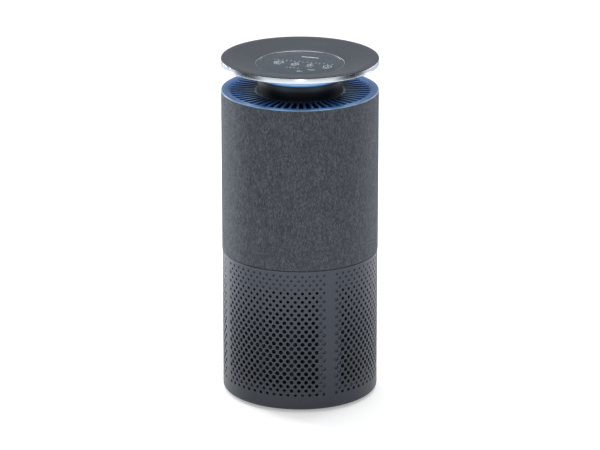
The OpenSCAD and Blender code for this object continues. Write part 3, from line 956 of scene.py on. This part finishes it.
def flag(name, bearing, distance, width, height, tones=None, base=0.001):
    """Upright card that the shell and the polished edge mirror; not seen directly.  Its tones run from its
    middle out to its upright edges, and go from near black to near white where none are given."""
    a = AZIMUTH + math.radians(bearing)
    across = 24
    verts, faces = [], []
    for i in range(across + 1):
        x = (i / across - 0.5) * width
        verts += [(x, 0.0, base), (x, 0.0, height)]
    for i in range(across):
        faces.append((2 * i, 2 * i + 2, 2 * i + 3, 2 * i + 1))
    mesh = bpy.data.meshes.new(name)
    mesh.from_pydata(verts, [], faces)
    s = Shading("card_" + name)
    split = s.axes()
    off = s.math("MULTIPLY", s.math("ABSOLUTE", split[0]), 2.0 / width)
    off = s.math("ADD", off, s.math("MULTIPLY", s.noise(4.0, 2.0), 0.04))
    dark = [(0.0, (0.02, 0.03, 0.045, 1)), (0.35, (0.06, 0.07, 0.09, 1)), (0.7, (0.35, 0.37, 0.4, 1)),
            (1.0, (0.95, 0.96, 0.98, 1))]
    shade = s.ramp(off, tones or dark)
    s.set(Base_Color=(0.0, 0.0, 0.0, 1.0), Roughness=1.0, Specular_IOR_Level=0.0, Emission_Strength=1.0)
    s.link(shade, s.shader.inputs["Emission Color"])
    mesh.materials.append(s.mat)
    obj = bpy.data.objects.new(name, mesh)
    obj.location = (math.sin(a) * distance, -math.cos(a) * distance, 0.0)
    obj.rotation_euler = (0.0, 0.0, a)
    obj.visible_camera = False
    obj.visible_shadow = False
    bpy.context.scene.collection.objects.link(obj)


def studio():
    """Rim lights behind, a soft strip in front, a broad one above, and cards at the sides and behind."""
    area_light("rim_left", -128, 1.6, 0.5, 0.5, 26, tall=1.2)
    area_light("rim_right", 128, 1.6, 0.5, 0.5, 10, tall=1.2)
    area_light("front_strip", 1, 2.4, 0.8, 0.3, 4.5, tall=1.2)
    area_light("overhead", 180, 0.6, 2.6, 2.2, 46, aim=0.3)
    flag("flag_left", -80, 1.25, 1.5, 1.5)
    flag("flag_right", 78, 1.25, 1.5, 1.5)
    grey = [(0.0, (0.66, 0.68, 0.72, 1)), (1.0, (0.74, 0.76, 0.8, 1))]
    flag("card_back_left", -142, 0.9, 1.35, 0.6, grey, 0.2)
    flag("card_back_right", 142, 0.9, 1.35, 0.6, grey, 0.2)
    world = bpy.data.worlds.new("studio")
    world.use_nodes = True
    world.node_tree.nodes["Background"].inputs["Color"].default_value = (1.0, 1.0, 1.0, 1.0)
    world.node_tree.nodes["Background"].inputs["Strength"].default_value = 0.5
    bpy.context.scene.world = world
    bpy.context.scene.view_settings.view_transform = "Standard"


def glow():
    """Blue light from the ring onto the grille."""
    count, r = 8, 86.0 * MM
    for k in range(count):
        light = bpy.data.lights.new(f"ring_glow_{k}", "AREA")
        light.shape = "DISK"
        light.size = 0.03
        light.energy = 0.012
        light.color = (0.35, 0.66, 1.0)
        obj = bpy.data.objects.new(f"ring_glow_{k}", light)
        a = 2 * math.pi * k / count
        obj.location = (r * math.cos(a), r * math.sin(a), LED_HIGH[2] - 2.0 * MM)
        way = Vector((math.cos(a) * 0.35, math.sin(a) * 0.35, -1.0))
        obj.rotation_euler = way.to_track_quat("-Z", "Y").to_euler()
        bpy.context.scene.collection.objects.link(obj)
        obj.parent = frame["bodies"]["housing"]


def camera():
    """Long lens, looking down at the front from its own azimuth."""
    data = bpy.data.cameras.new("camera")
    data.lens = 205.3
    data.sensor_width = 36.0
    data.clip_end = 100.0
    obj = bpy.data.objects.new("camera", data)
    distance, height, down = 5.0, 1.9152, math.radians(18.286)
    obj.location = (math.sin(AZIMUTH) * distance, -math.cos(AZIMUTH) * distance, height)
    obj.rotation_euler = (math.pi / 2 - down, 0.0, AZIMUTH)
    bpy.context.scene.collection.objects.link(obj)
    bpy.context.scene.camera = obj


floor()
studio()
glow()
camera()
